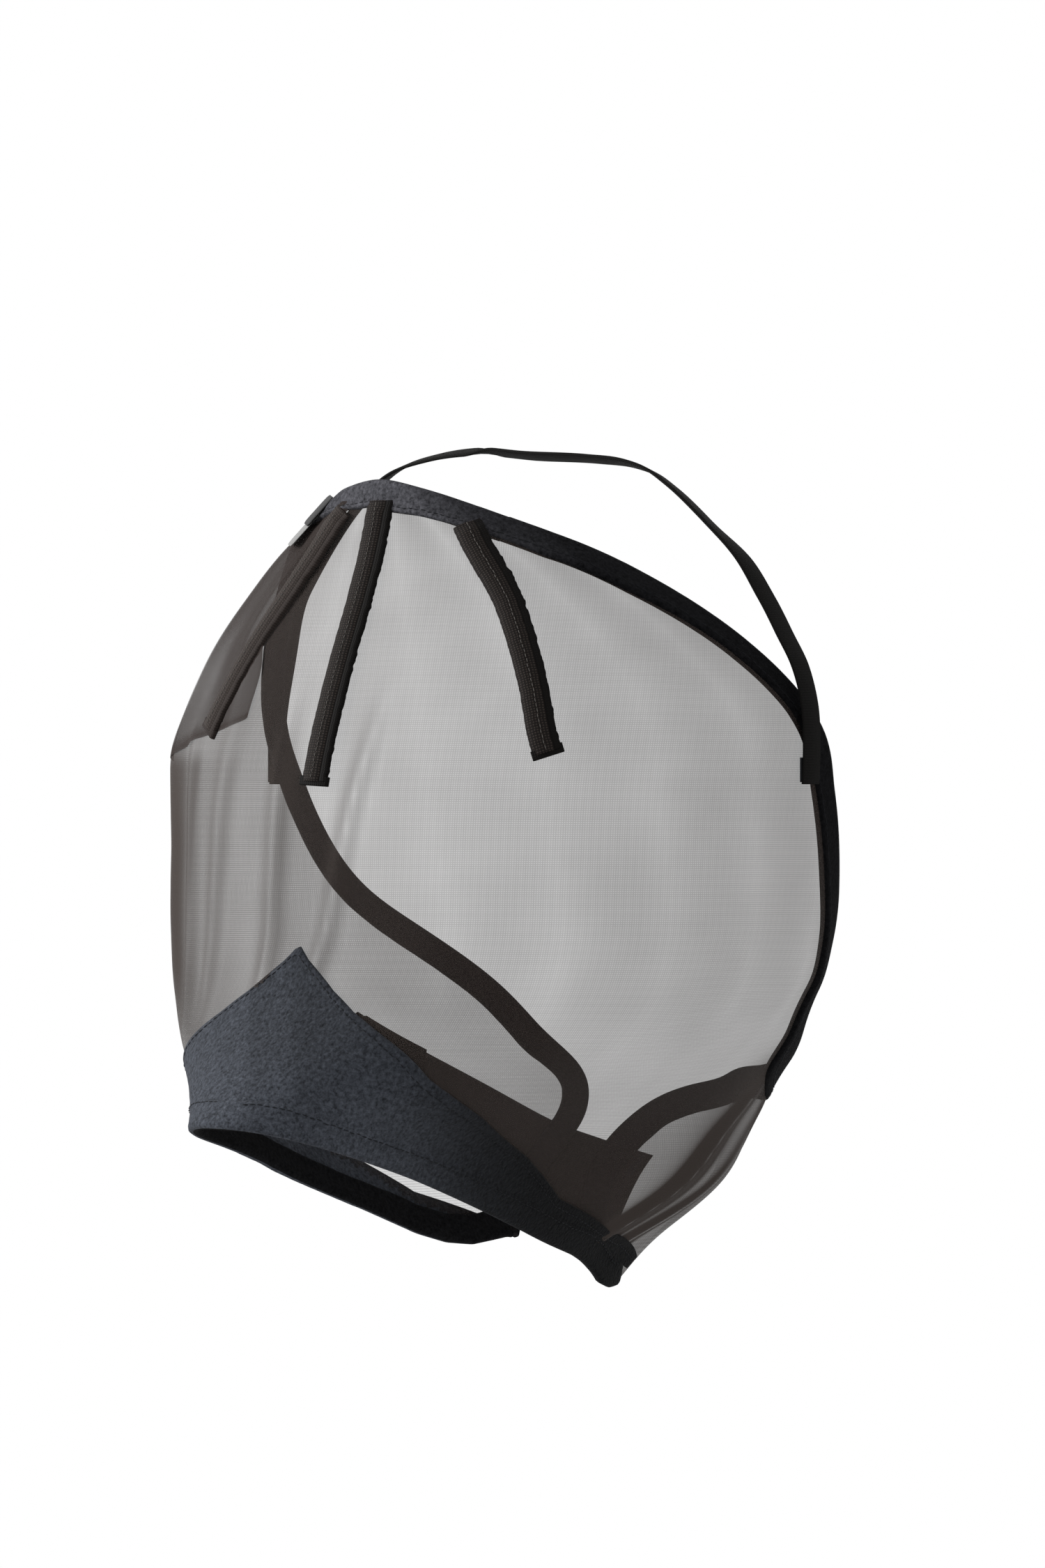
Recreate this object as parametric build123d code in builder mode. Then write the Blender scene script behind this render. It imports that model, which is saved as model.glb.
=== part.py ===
"""Fly mask for a horse: fine mesh hood with fleece nose, bindings, eye darts and straps.

Millimetres. +Z is up, -Y is the way the horse faces, +X is the near (left) side.
The origin is the middle of the brow binding's top edge.
"""

import os
from math import hypot

from build123d import *

# ---------------------------------------------------------------- driving sizes
# Level sections of the spread hood: height, front, half depth, half width
SECTIONS = [
    (8, 3, 7, 10),
    (-2, 0, 15, 28),
    (-15, -3, 36, 56),
    (-34, -9, 63, 93),
    (-54, -17, 89, 122),
    (-80, -28, 116, 151),
    (-120, -42, 146, 175),
    (-150, -49, 153, 178),
    (-195, -53, 153, 175),
    (-225, -56, 152, 170),
    (-250, -66, 162, 157),
    (-275, -86, 179, 132),
    (-295, -104, 189, 100),
    (-315, -119, 196, 72),
    (-345, -132, 195, 48),
    (-375, -136, 174, 34),
    (-405, -136, 152, 26),
]

# Edges drawn in the side view, as (y, z)
NECK_EDGE = [(-3, 3), (25, -15), (59, -34), (106, -79), (135, -123), (147, -155)]
NECK_EDGE += [(168, -196), (190, -223), (210, -249)]
NEAR_END = [(227, -272), (250, -285), (284, -291)]
OFF_END = [(226, -273), (236, -292), (226, -309), (205, -325), (178, -342), (150, -362), (130, -392)]
FLAP_EDGE = [(284, -291), (265, -301), (240, -316), (217, -331), (203, -343), (187, -362), (176, -402)]
FLEECE_EDGE = [(-66, -218), (-58.5, -236), (-60, -245), (-63.6, -258), (-64, -266), (-61, -276)]
FLEECE_EDGE += [(-51, -284), (-4, -309), (42, -328), (83, -349), (137, -367), (184, -394)]
RING_FRONT = (-128, -313)
RING_SLOPE = -0.27

BINDING_WIDTH = 15
HEM_WIDTH = 15
MESH = 1.0
FLEECE = 2.0
FOLD = 2.0
HEM_FOLD = 2.5

DART_WIDTH = 13
DART_HEIGHT = 4.0
STAY_WIDTH = 7
STAY_THICK = 1.2
STAY_GAP = 0.15
# Dart centre lines in the front view, as (x, z) from brow to tip
DARTS = {
    "centre": [(8, -16), (9, -60), (8, -105), (6, -146)],
    "near": [(60, -29), (86, -60), (106, -95), (119, -132)],
    "off": [(-24, -18), (-44, -50), (-66, -85), (-86, -120)],
}

POLL_ARCH = [(0, 17), (70, 10.5), (136, -34.5), (166, -70), (179.5, -107), (182.5, -132), (182.5, -157)]
POLL_WIDTH = 13
POLL_THICK = 1.6
POLL_Y = 118

# Closure strap's long edges in the side view, from its free end to the peel line and sewn end
CLOSURE_TOP = [(150, -260), (170, -278), (185, -296), (205, -315), (224, -324)]
CLOSURE_LOW = [(70, -296), (110, -328), (148, -348), (183, -361)]
CLOSURE_SEWN = [(246, -333), (205, -368)]
CLOSURE_INNER = 3.0
CLOSURE_OUTER = 4.8
PEEL_GAP = 1.5
PATCH = [(152, -264), (169, -281), (108, -324), (77, -299)]
PATCH_THICK = 1.2
PATCH_GAP = 0.4
STITCH_PAD = [(241, -334), (230, -330), (193, -363), (204, -365)]

BADGE = (32, 24, 1.6)
BADGE_CORNER = 4
BADGE_LIFT = 6
BADGE_MIDDLE = (-49, 16, -17)
BADGE_ALONG = (0.513, 0.431, 0.743)
BADGE_FACING = (-0.569, -0.478, 0.669)

BROW_HALF = 62
BROW_LOW = -60
TAB_THICK = 1.4
TAB_NARROW = 2
TAB_LENGTH = 4
STAY_SHORT = 8
TACK = (8, 12, 13)
TACK_LIFT = 7
TACK_GAP = 0.4
TOUCH = 0.05
FAR = 450


# ---------------------------------------------------------------- shared shapes
def hood(grow):
    """The hood's solid outer form, its sections grown outwards."""
    with BuildPart() as form:
        for height, front, half_depth, half_width in SECTIONS:
            with BuildSketch(Plane.XY.offset(height)):
                with Locations((0, front + half_depth)):
                    Ellipse(half_width + grow, half_depth + grow)
        loft()
    return form.part


def layer(outer, inner):
    """A cloth layer lying between two distances from the mesh surface."""
    with BuildPart() as cloth:
        add(hood(outer))
        add(hood(inner), mode=Mode.SUBTRACT)
    return cloth.part


def side_region(edge, corners, low=-FAR, high=FAR):
    """A block across the hood whose side-view outline is a curve and straight corners."""
    with BuildPart() as region:
        with BuildSketch(Plane.YZ.offset(low)):
            with BuildLine():
                curve = Spline(*edge)
                Polyline(curve @ 1, *corners, curve @ 0)
            make_face()
        extrude(amount=high - low)
    return region.part


def inset(points, width):
    """A side-view edge moved to its right-hand side by a width."""
    moved = []
    for index, (y, z) in enumerate(points):
        before = points[max(index - 1, 0)]
        after = points[min(index + 1, len(points) - 1)]
        run = hypot(after[0] - before[0], after[1] - before[1])
        moved.append((y + (after[1] - before[1]) / run * width, z - (after[0] - before[0]) / run * width))
    return moved


def strip(points, width):
    """Both long edges of a strip about a centre line."""
    return inset(points, width / 2), inset(points, -width / 2)


def front_strip(points, width, reach=60):
    """A block whose front-view outline is a strip about a centre line."""
    right, left = strip(points, width)
    with BuildPart() as region:
        with BuildSketch(Plane.XZ.offset(-reach)):
            with BuildLine():
                one = Spline(*right)
                two = Spline(*left)
                Line(one @ 0, two @ 0)
                Line(one @ 1, two @ 1)
            make_face()
        extrude(amount=FAR)
    return region.part


def cut(stock, keep=(), remove=()):
    """A piece of cloth: the stock inside every kept block and outside every removed one."""
    with BuildPart() as piece:
        add(stock)
        for block in keep:
            add(block, mode=Mode.INTERSECT)
        for block in remove:
            add(block, mode=Mode.SUBTRACT)
    return piece


def ring_z(y):
    return RING_FRONT[1] + RING_SLOPE * (y - RING_FRONT[0])


def below_ring(lift):
    """Everything below the nose ring's plane raised by a lift."""
    ends = [(y, ring_z(y) + lift) for y in (-FAR, FAR)]
    with BuildPart() as region:
        with BuildSketch(Plane.YZ.offset(-FAR)):
            with BuildLine():
                Polyline(*ends, (FAR, -2 * FAR), (-FAR, -2 * FAR), close=True)
            make_face()
        extrude(amount=2 * FAR)
    return region.part


def half(low, high):
    with BuildPart() as region:
        Box(high - low, 4 * FAR, 4 * FAR, align=(Align.MIN, Align.CENTER, Align.CENTER))
    return region.part.moved(Location((low, 0, 0)))


pieces = {}


def keep(name, piece):
    piece.part.label = name
    pieces[name] = piece.part
    print(name, len(piece.part.solids()), round(piece.part.volume))


# ---------------------------------------------------------------- cloth and regions
mesh_cloth = layer(0, -MESH)
fleece_cloth = layer(FLEECE, -MESH)
fold_cloth = layer(FOLD, -FOLD)
hem_cloth = layer(HEM_FOLD, -HEM_FOLD)

near_edge = NECK_EDGE + NEAR_END
off_edge = NECK_EDGE + OFF_END
ABOVE = [(FAR, -293), (FAR, 80), (-3, 80)]
BEHIND = [(130, -FAR), (FAR, -FAR), (FAR, 80), (-3, 80)]

near_half = half(0, FAR)
off_half = half(-FAR, 0)
flap_half = half(-FAR, -0.8)
near_opening = side_region(near_edge, ABOVE)
off_opening = side_region(off_edge, BEHIND)
near_inner = inset(near_edge, BINDING_WIDTH)
near_inner[-1] = (300, near_inner[-1][1])
near_binding_zone = side_region(near_inner, [(FAR, near_inner[-1][1]), (FAR, 80), (-20, 80)])
off_inner = inset(off_edge, BINDING_WIDTH)
off_binding_zone = side_region(off_inner, [(115, -FAR), (FAR, -FAR), (FAR, 80), (-20, 80)])
flap_zone = side_region(FLAP_EDGE, [(176, -FAR), (FAR, -FAR), (FAR, -293)])
flap_inner = inset(FLAP_EDGE, -BINDING_WIDTH)
flap_core = side_region(flap_inner, [(flap_inner[-1][0], -FAR), (FAR, -FAR), (FAR, flap_inner[0][1])])

nose_off = below_ring(0)
hem_zone = below_ring(HEM_WIDTH)
fleece_zone = side_region(FLEECE_EDGE, [(184, -FAR), (-FAR, -FAR), (-FAR, -218)])

# ---------------------------------------------------------------- mesh body
near_side = cut(mesh_cloth, [near_half], [near_binding_zone, fleece_zone, hem_zone])
off_side = cut(mesh_cloth, [off_half], [off_binding_zone, fleece_zone, hem_zone])
with BuildPart() as mesh_body:
    add(near_side.part)
    add(off_side.part)
keep("mesh_body", mesh_body)

# ---------------------------------------------------------------- fleece nose panel and hem
near_nose = cut(fleece_cloth, [near_half, fleece_zone], [hem_zone])
off_nose = cut(fleece_cloth, [off_half, fleece_zone], [hem_zone, off_binding_zone])
with BuildPart() as nose_fleece_panel:
    add(near_nose.part)
    add(off_nose.part)
keep("nose_fleece_panel", nose_fleece_panel)

near_hem = cut(hem_cloth, [near_half, hem_zone], [nose_off])
off_hem = cut(hem_cloth, [off_half, hem_zone], [nose_off, off_binding_zone])
keep("near_nose_hem", near_hem)
keep("off_nose_hem", off_hem)

# ---------------------------------------------------------------- neck bindings
brow_block = half(-BROW_HALF, BROW_HALF)
high_block = side_region([(-FAR, BROW_LOW), (0, BROW_LOW), (FAR, BROW_LOW)], [(FAR, 100), (-FAR, 100)])
near_fold = cut(fold_cloth, [near_half, near_binding_zone], [near_opening])
off_fold = cut(fold_cloth, [off_half, off_binding_zone], [off_opening, nose_off])
with BuildPart() as whole_fold:
    add(near_fold.part)
    add(off_fold.part)
with BuildPart() as brow_zone:
    add(brow_block)
    add(high_block, mode=Mode.INTERSECT)
keep("brow_binding", cut(whole_fold.part, [brow_zone.part]))
keep("near_neck_binding", cut(near_fold.part, [], [brow_zone.part]))
keep("off_neck_binding", cut(off_fold.part, [], [brow_zone.part]))

# ---------------------------------------------------------------- jaw flap, wrapped under to the off side
keep("jaw_flap_mesh", cut(mesh_cloth, [flap_half, flap_core], [nose_off]))
keep("jaw_flap_binding", cut(fold_cloth, [flap_half, flap_zone], [flap_core, nose_off]))

# ---------------------------------------------------------------- eye darts with their stays
casing_cloth = layer(DART_HEIGHT, 0)
channel_low = (DART_HEIGHT - STAY_THICK) / 2 - STAY_GAP
channel_cloth = layer(channel_low + STAY_THICK + 2 * STAY_GAP, channel_low)
stay_cloth = layer(channel_low + STAY_GAP + STAY_THICK, channel_low + STAY_GAP)
tab_cloth = layer(TAB_THICK, 0)
for side, line in DARTS.items():
    tip = line[-1]
    before = line[-2]
    run = hypot(tip[0] - before[0], tip[1] - before[1])
    ahead = ((tip[0] - before[0]) / run, (tip[1] - before[1]) / run)
    tab_line = [(tip[0] + ahead[0] * step, tip[1] + ahead[1] * step) for step in (0.2, TAB_LENGTH / 2, TAB_LENGTH)]
    short = line[:-1] + [(tip[0] - ahead[0] * STAY_SHORT, tip[1] - ahead[1] * STAY_SHORT)]
    bore = front_strip(short, STAY_WIDTH + 2 * STAY_GAP)
    channel = cut(channel_cloth, [bore]).part
    keep(f"{side}_dart", cut(casing_cloth, [front_strip(line, DART_WIDTH)], [channel, near_binding_zone]))
    keep(f"{side}_dart_stay", cut(stay_cloth, [front_strip(short, STAY_WIDTH)], [near_binding_zone]))
    keep(f"{side}_dart_tab", cut(tab_cloth, [front_strip(tab_line, DART_WIDTH - TAB_NARROW)]))

# ---------------------------------------------------------------- poll strap and its sewn ends
outer_arch = POLL_ARCH
inner_arch = inset(POLL_ARCH, POLL_THICK)
inner_arch[0] = (0, POLL_ARCH[0][1] - POLL_THICK)
with BuildPart() as poll_strap:
    with BuildSketch(Plane.XZ.offset(-POLL_Y - POLL_WIDTH / 2)):
        with BuildLine():
            outside = Spline(*outer_arch, tangents=[(1, 0), (0, -1)])
            inside = Spline(*inner_arch, tangents=[(1, 0), (0, -1)])
            Line(outside @ 0, inside @ 0)
            Line(outside @ 1, inside @ 1)
        make_face()
        mirror(about=Plane.YZ)
    extrude(amount=POLL_WIDTH)
keep("poll_strap", poll_strap)

for side, turn in (("near", 1), ("off", -1)):
    with BuildPart() as patch:
        with Locations((turn * (POLL_ARCH[-1][0] - POLL_THICK - TACK_GAP), POLL_Y, POLL_ARCH[-1][1] + TACK_LIFT)):
            Box(*TACK, align=(Align.MAX if turn > 0 else Align.MIN, Align.CENTER, Align.CENTER))
        add(hood(TOUCH), mode=Mode.SUBTRACT)
    keep(f"{side}_strap_tack", patch)

# ---------------------------------------------------------------- closure strap, sewn base and patches
def off_block(corners):
    """Off-side block with a straight-cornered side view."""
    with BuildPart() as region:
        with BuildSketch(Plane.YZ.offset(-FAR)):
            with BuildLine():
                Polyline(*corners, close=True)
            make_face()
        extrude(amount=FAR - 1)
    return region.part


def off_band(edge, back):
    """Off-side block whose side view lies between two curves."""
    with BuildPart() as region:
        with BuildSketch(Plane.YZ.offset(-FAR)):
            with BuildLine():
                top = Spline(*edge)
                low = Spline(*back)
                Line(top @ 0, low @ 0)
                Line(top @ 1, low @ 1)
            make_face()
        extrude(amount=FAR - 1)
    return region.part


def toward(start, end, distance):
    """The point a distance along the line from start to end."""
    run = hypot(end[0] - start[0], end[1] - start[1])
    return tuple(a + (b - a) / run * distance for a, b in zip(start, end))


strap_cloth = layer(CLOSURE_OUTER, CLOSURE_INNER)
peel_top, peel_low = CLOSURE_TOP[-1], CLOSURE_LOW[-1]
tail_top = CLOSURE_TOP[:-1] + [toward(peel_top, CLOSURE_TOP[-2], PEEL_GAP)]
tail_low = CLOSURE_LOW[:-1] + [toward(peel_low, CLOSURE_LOW[-2], PEEL_GAP)]
keep("closure_strap", cut(strap_cloth, [off_band(tail_top, tail_low)]))

base_corners = [peel_top, CLOSURE_SEWN[0], CLOSURE_SEWN[1], peel_low]
keep("closure_strap_base", cut(strap_cloth, [off_block(base_corners)]))
stitch_cloth = layer(CLOSURE_INNER, TOUCH)
keep("closure_stitch_pad", cut(stitch_cloth, [off_block(STITCH_PAD), flap_core]))
hook_cloth = layer(CLOSURE_INNER, CLOSURE_INNER - PATCH_THICK)
loop_cloth = layer(CLOSURE_INNER - PATCH_THICK - PATCH_GAP, TOUCH)
patch_block = off_block(PATCH)
keep("closure_hook_patch", cut(hook_cloth, [patch_block]))
keep("closure_loop_patch", cut(loop_cloth, [patch_block]))

# ---------------------------------------------------------------- blank badge on the off temple
badge_plane = Plane(origin=BADGE_MIDDLE, x_dir=BADGE_ALONG, z_dir=BADGE_FACING)
with BuildPart() as blank_badge:
    with BuildSketch(badge_plane.offset(BADGE_LIFT)):
        RectangleRounded(BADGE[0], BADGE[1], BADGE_CORNER)
    extrude(amount=BADGE[2])
keep("blank_badge", blank_badge)

os.makedirs("parts", exist_ok=True)
for name, part in pieces.items():
    export_step(part, f"parts/{name}.step")
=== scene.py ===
"""Horse fly mask: the looks of a spread, empty mask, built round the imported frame."""

from math import cos, pi, radians, sin

import bmesh
import bpy
import numpy as np
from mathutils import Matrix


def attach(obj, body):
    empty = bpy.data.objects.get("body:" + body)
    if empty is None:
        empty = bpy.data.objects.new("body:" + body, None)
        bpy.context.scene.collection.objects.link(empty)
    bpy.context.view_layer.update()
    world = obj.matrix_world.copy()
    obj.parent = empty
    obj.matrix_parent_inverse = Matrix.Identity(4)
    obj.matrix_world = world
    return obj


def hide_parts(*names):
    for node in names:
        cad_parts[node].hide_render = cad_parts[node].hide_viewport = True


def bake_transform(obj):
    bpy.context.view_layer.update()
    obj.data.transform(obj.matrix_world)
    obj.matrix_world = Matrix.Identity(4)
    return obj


MM = 0.001
rng = np.random.default_rng(7)
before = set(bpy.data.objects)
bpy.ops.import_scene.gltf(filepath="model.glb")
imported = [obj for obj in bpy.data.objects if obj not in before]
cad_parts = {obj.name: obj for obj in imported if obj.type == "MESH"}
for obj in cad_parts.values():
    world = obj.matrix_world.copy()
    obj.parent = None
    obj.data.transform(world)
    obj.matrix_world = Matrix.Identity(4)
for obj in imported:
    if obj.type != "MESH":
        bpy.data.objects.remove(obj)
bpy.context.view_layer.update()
scene = bpy.context.scene

# ---------------------------------------------------------------- the hood's surface, in millimetres
# Level sections: height, front, half depth, half width. Front is y at the face; y grows to the rear.
SECTIONS = np.array([
    (-405, -136, 152, 26), (-375, -136, 174, 34), (-345, -132, 195, 48), (-315, -119, 196, 72),
    (-295, -104, 189, 100), (-275, -86, 179, 132), (-250, -66, 162, 154), (-225, -56, 152, 166),
    (-195, -53, 153, 171), (-150, -49, 153, 175), (-120, -42, 146, 175), (-80, -28, 116, 151),
    (-54, -17, 89, 122), (-34, -9, 63, 93), (-15, -3, 36, 56), (-2, 0, 15, 28), (8, 3, 7, 10),
], float)
# Edges in the side view, as (y, z)
NECK_EDGE = [(-3, 3.5), (25, -15.6), (59, -36.2), (106, -81.4), (134.5, -124.5), (147, -155), (167, -196),
             (187, -223), (205, -250)]
OFF_NECK = [(-3, 4.2), (25, -16), (58, -35), (104, -79), (132, -121), (145, -155), (166, -196),
            (193, -223), (217, -249)]
NEAR_END = [(221, -273), (250, -285), (284, -291)]
OFF_END = [(231, -273), (236, -292), (226, -309), (205, -325), (178, -342), (150, -362), (130, -392)]
FLAP_EDGE = [(284, -291), (265, -301), (240, -316), (217, -331), (203, -343), (187, -362), (176, -402)]
# Fleece top edge: degrees round from the face, height
FLEECE_TOP = np.array([(0, -225), (2.4, -232), (9.8, -247), (16.4, -257.6), (23.9, -267), (43.3, -289),
                       (64.7, -309), (81.7, -328), (96.5, -349), (120.9, -367), (180, -394)])
RING_FRONT, RING_SLOPE = (-128, -313), -0.27
BINDING_WIDTH, HEM_WIDTH = 15, 15
# Dart centre lines in the front view, as (x, z)
DARTS = {
    "centre": [(8, -16), (9, -60), (8, -105), (6, -146)],
    "near": [(60, -29), (86, -60), (106, -95), (119, -132)],
    "off": [(-24, -18), (-44, -50), (-66, -85), (-86, -120)],
}
# Poll strap in the front view, as (x, z), from its off end to its near end
POLL_ARCH = [(-177, -147), (-178, -132), (-176, -107), (-163, -72), (-138, -33.5), (-110, -5), (-90, 9),
             (-63, 16), (-34, 18.4), (0, 15.8), (40, 13.6), (63, 11), (77, 6.8), (90, -0.8), (115, -20),
             (136, -37.5), (149.5, -55.5), (161.5, -72.5), (173, -89), (179, -107), (180.5, -132),
             (179.8, -147)]
POLL_Y, POLL_WIDTH, POLL_THICK = 118, 13, 1.6
# Closure tape's edges on the off side, as (y, z), and where it is sewn to the flap
CLOSURE_TOP = [(150, -260), (170, -278), (185, -296), (205, -315), (224, -324)]
CLOSURE_LOW = [(70, -296), (110, -328), (148, -348), (183, -361)]
CLOSURE_SEWN = [(246, -333), (205, -368)]
# Well outside the hood
FAR = 450


def hermite(x, xs, ys):
    """Smooth curve through points, with slopes from their neighbours."""
    slope = np.gradient(ys, xs)
    i = np.clip(np.searchsorted(xs, x) - 1, 0, len(xs) - 2)
    h = xs[i + 1] - xs[i]
    s = (x - xs[i]) / h
    return ((2 * s**3 - 3 * s**2 + 1) * ys[i] + (s**3 - 2 * s**2 + s) * h * slope[i]
            + (3 * s**2 - 2 * s**3) * ys[i + 1] + (s**3 - s**2) * h * slope[i + 1])


def length_along(points):
    """Distance from the line's start at each of its points."""
    return np.r_[0, np.cumsum(np.linalg.norm(np.diff(points, axis=0), axis=1))]


def spline(points, count):
    """Evenly spaced points on a smooth curve through the given ones."""
    p = np.array(points, float)
    run = length_along(p)
    fine = np.linspace(0, run[-1], count * 4)
    dense = np.stack([hermite(fine, run, p[:, k]) for k in range(p.shape[1])], 1)
    return even(dense, count)


def even(points, count):
    """The same line with evenly spaced points."""
    run = length_along(points)
    at = np.linspace(0, run[-1], count)
    return np.stack([np.interp(at, run, points[:, k]) for k in range(points.shape[1])], 1)


def section(z):
    """Front, half depth and half width of the level section at a height."""
    z = np.asarray(z, float)
    return [hermite(z, SECTIONS[:, 0], SECTIONS[:, k]) for k in (1, 2, 3)]


def ease(x, low, high):
    """Smooth step from 0 at low to 1 at high."""
    s = np.clip((x - low) / (high - low), 0, 1)
    return s * s * (3 - 2 * s)


def ridge(x, middle, width):
    """Rounded bump of height 1 at its middle."""
    return np.exp(-(((x - middle) / width) ** 2))


def slack(z, t):
    """How far the spread cloth bulges out from its level sections, or sinks in, in millimetres."""
    deg = np.degrees(t)
    rear = -7.2 * ridge(deg, 125, 30) * ridge(z, -268, 24) + 5.4 * ridge(deg, 125, 36) * ridge(z, -340, 26)
    rear -= 3.0 * ridge(deg, 140, 30) * ridge(z, -381, 13)
    far = 3.0 * ridge(z, -264, 26) - 4.2 * ridge(z, -319, 20)
    far += 1.4 * ridge(z, -133, 14) - 0.8 * ridge(z, -175, 18)
    return rear + far * ridge(deg, -54, 20)


def skin(z, t, lift=0.0):
    """Point on the hood at a height and an angle from the face, lifted off the cloth."""
    z, t = np.broadcast_arrays(np.asarray(z, float), np.asarray(t, float))
    front, b, a = section(z)
    step = 0.5
    point = np.stack([a * np.sin(t), front + b - b * np.cos(t), z], -1)
    f2, b2, a2 = section(z + step)
    up = np.stack([a2 * np.sin(t), f2 + b2 - b2 * np.cos(t), z + step], -1) - point
    across = np.stack([a * np.cos(t), b * np.sin(t), 0 * z], -1)
    normal = np.cross(across, up)
    normal /= np.linalg.norm(normal, axis=-1, keepdims=True) + 1e-12
    return point + normal * (np.asarray(lift, float) + slack(z, t))[..., None]


def place(point):
    """Height and angle of the hood point level with a given point."""
    front, b, a = section(point[..., 2])
    return point[..., 2], np.arctan2(point[..., 0] / a, (front + b - point[..., 1]) / b)


def from_side(y, z, side):
    """Angle of the hood point seen at (y, z) in the side view, on one side."""
    front, b, _ = section(z)
    return side * np.arccos(np.clip((front + b - y) / b, -1, 1))


def from_front(x, z):
    """Angle of the hood point seen at (x, z) in the front view."""
    return np.arcsin(np.clip(x / section(z)[2], -1, 1))


def within(outline, y, z):
    """True where side-view points lie inside a closed outline."""
    inside = np.zeros(np.shape(y), bool)
    for (y0, z0), (y1, z1) in zip(outline, np.roll(outline, -1, axis=0)):
        if z0 != z1:
            crosses = (z0 > z) != (z1 > z)
            inside ^= crosses & (y < (y1 - y0) * (z - z0) / (z1 - z0) + y0)
    return inside


def inset(points, width):
    """A side-view edge moved to its right-hand side by a width."""
    p = np.array(points, float)
    d = np.gradient(p, axis=0)
    d /= np.linalg.norm(d, axis=1, keepdims=True)
    return p + np.stack([d[:, 1], -d[:, 0]], 1) * width


def fleece_top(t):
    """Height of the nose fleece's top edge."""
    return np.interp(np.abs(np.degrees(t)), FLEECE_TOP[:, 0], FLEECE_TOP[:, 1])


def ring_z(y):
    """Height of the nose ring's level plane, which slopes down to the rear."""
    return RING_FRONT[1] + RING_SLOPE * (y - RING_FRONT[0])


def side_y(z, t):
    """Side-view place of a hood point."""
    front, b, _ = section(z)
    return front + b - b * np.cos(t)


def ring_height(t, lift):
    """Height of the nose ring round the hood, lifted; a few rounds settle it on the sloping plane."""
    z = np.full(np.shape(t), -350.0)
    for _ in range(30):
        z = ring_z(side_y(z, t)) + lift
    return z


near_edge = spline(NECK_EDGE + NEAR_END, 160)
off_edge = spline(OFF_NECK + OFF_END, 220)
flap_edge = spline(FLAP_EDGE, 80)
# How far the mesh reaches in under the bindings and the nose fleece
TUCK = 6
near_out = np.vstack([inset(near_edge, TUCK), [(FAR, -297), (FAR, 80), (-20, 80)]])
off_out = np.vstack([inset(off_edge, TUCK), [(118, -FAR), (FAR, -FAR), (FAR, 80), (-20, 80)]])
flap_in = np.vstack([inset(flap_edge, -TUCK), [(176, -FAR), (FAR, -FAR), (FAR, -297)]])


# ---------------------------------------------------------------- meshes
def make(name, points, faces, body=None, material=None, smooth=True, uv=None):
    """A mesh object from points in millimetres."""
    data = bpy.data.meshes.new(name)
    data.from_pydata((np.asarray(points) * MM).tolist(), [], faces)
    if uv is not None:
        layer = data.uv_layers.new(name="cloth")
        index = np.zeros(len(data.loops), int)
        data.loops.foreach_get("vertex_index", index)
        layer.data.foreach_set("uv", np.asarray(uv, float)[index].ravel())
    data.validate()
    piece = bpy.data.objects.new(name, data)
    scene.collection.objects.link(piece)
    if smooth:
        data.polygons.foreach_set("use_smooth", [True] * len(data.polygons))
    if material:
        data.materials.append(material)
    if body:
        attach(piece, body)
    return piece


def grid_faces(rows, columns, wrap=False):
    """Faces of a grid of points, closed round its columns if wrapped."""
    faces = []
    for r in range(rows - 1):
        for c in range(columns if wrap else columns - 1):
            d = (c + 1) % columns
            faces.append((r * columns + c, r * columns + d, (r + 1) * columns + d, (r + 1) * columns + c))
    return faces


def arc_uv(grid):
    """Cloth coordinates of a grid of points, in metres along its rows and columns."""
    across = np.r_["1", np.zeros((grid.shape[0], 1)), np.linalg.norm(np.diff(grid, axis=1), axis=2).cumsum(1)]
    across -= across[:, [grid.shape[1] // 2]]
    along = np.linalg.norm(np.diff(grid, axis=0), axis=2).mean(1)
    along = np.r_[0, np.cumsum(along)][:, None] + 0 * across
    return np.stack([across, along], -1).reshape(-1, 2) * MM


def paint(piece, name, values):
    """Write one number on each point of a piece, for its material to read."""
    layer = piece.data.attributes.new(name, "FLOAT", "POINT")
    layer.data.foreach_set("value", np.asarray(values, np.float32).ravel())


def cloth(name, z, t, keep, lift, body, material, density):
    """Thin cloth over part of the hood: the faces of a grid whose points are all kept."""
    zz, tt = np.meshgrid(z, t, indexing="ij")
    ring = ring_height(tt, 3)
    above = zz > ring - (z[1] - z[0])
    zz = np.maximum(zz, ring)
    p = skin(zz, tt, lift(zz, tt))
    kept = keep(zz, tt, p) & above
    faces = [f for f in grid_faces(len(z), len(t)) if kept.ravel()[list(f)].all()]
    used = np.unique(np.array(faces).ravel())
    renumber = np.full(zz.size, -1)
    renumber[used] = np.arange(len(used))
    faces = [tuple(int(renumber[i]) for i in f) for f in faces]
    piece = make(name, p.reshape(-1, 3)[used], faces, body, material, uv=arc_uv(p)[used])
    paint(piece, "doubled", np.ravel(density(zz, tt))[used])
    return piece


def frames(line):
    """Inward direction and normal along a line on the hood."""
    along = np.gradient(line, axis=0)
    along /= np.linalg.norm(along, axis=1, keepdims=True)
    z, t = place(line)
    normal = skin(z, t, 1.0) - skin(z, t)
    inward = np.cross(normal, along)
    return inward / np.linalg.norm(inward, axis=1, keepdims=True), normal


def smooth_line(line, times):
    """A line with its corners evened out, its ends kept."""
    line = line.copy()
    for _ in range(times):
        line[1:-1] = (line[:-2] + 2 * line[1:-1] + line[2:]) / 4
    return line


def hug(points, lift):
    """Points moved level onto the hood, then lifted."""
    z, t = place(points)
    return skin(z, t, lift)


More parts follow.
